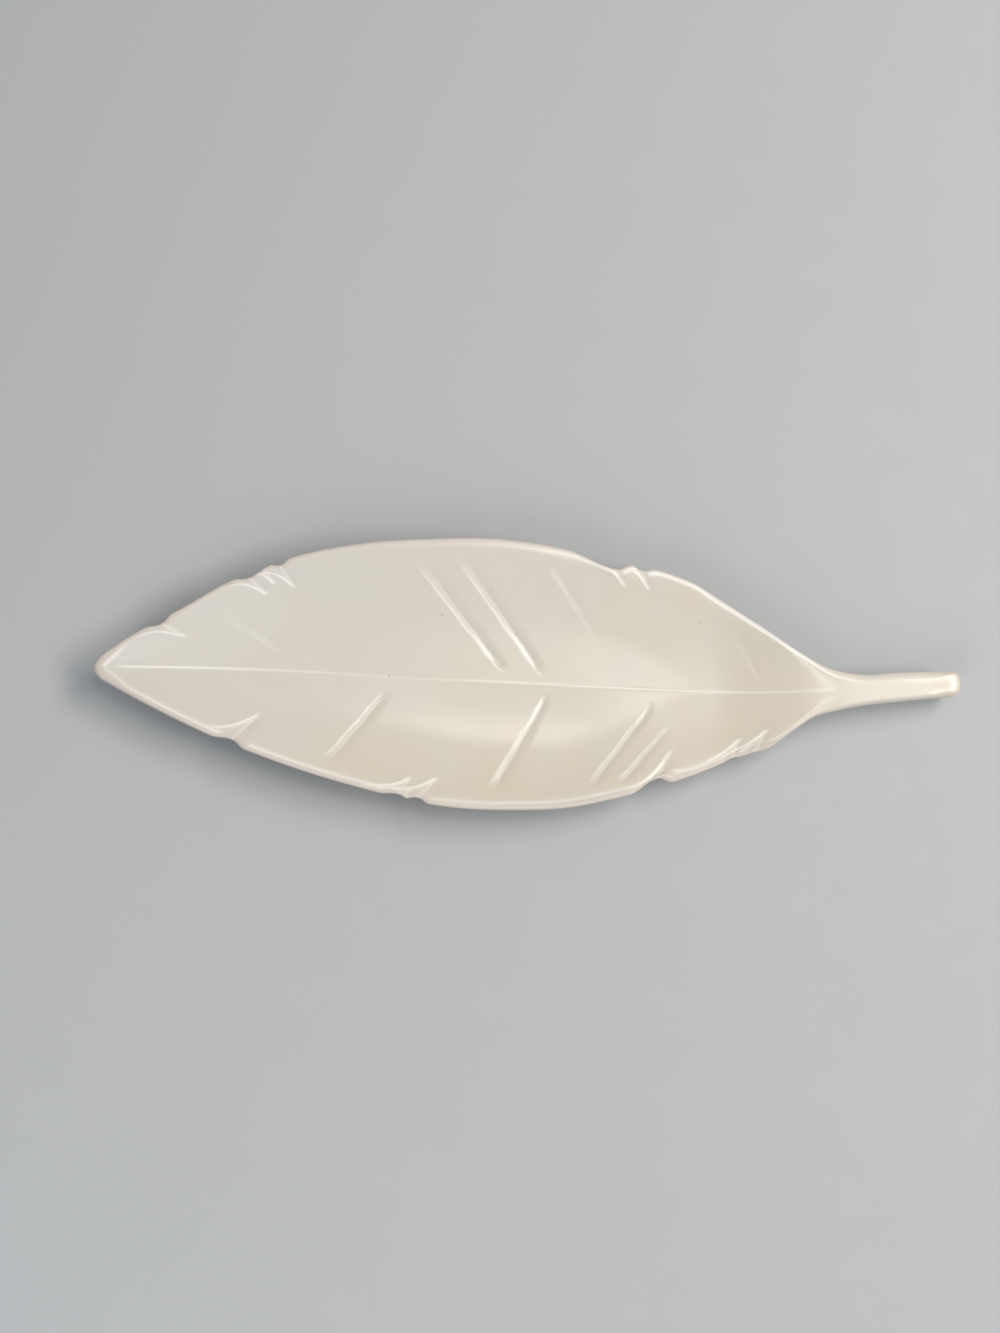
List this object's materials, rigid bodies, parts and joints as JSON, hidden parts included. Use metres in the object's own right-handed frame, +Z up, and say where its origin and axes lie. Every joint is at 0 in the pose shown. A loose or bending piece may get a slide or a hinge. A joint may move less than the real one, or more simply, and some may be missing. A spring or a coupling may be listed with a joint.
{
  "type": "leaf shaped serving plate",
  "caption": "Long shallow ceramic serving plate in the shape of a leaf, with a raised rim nicked like a torn leaf, a midrib, slanting veins and a stem to hold, standing on soft bumpers.",
  "frame": {"origin": "under the middle of the plate's box, on the surface that the bumpers stand on", "axes": "+X from the leaf's tip to the end of its stem, +Y across to the far half of the blade, +Z up"},
  "size_m": [0.34, 0.1076, 0.0192],
  "materials": {
    "glaze": "satin warm white glaze",
    "bumper": "matt translucent silicone"
  },
  "bodies": {
    "root": {"plate_body": "glaze", "pad_tip_far": "bumper", "pad_tip_near": "bumper", "pad_stem_far": "bumper", "pad_stem_near": "bumper"}
  },
  "joints": []
}
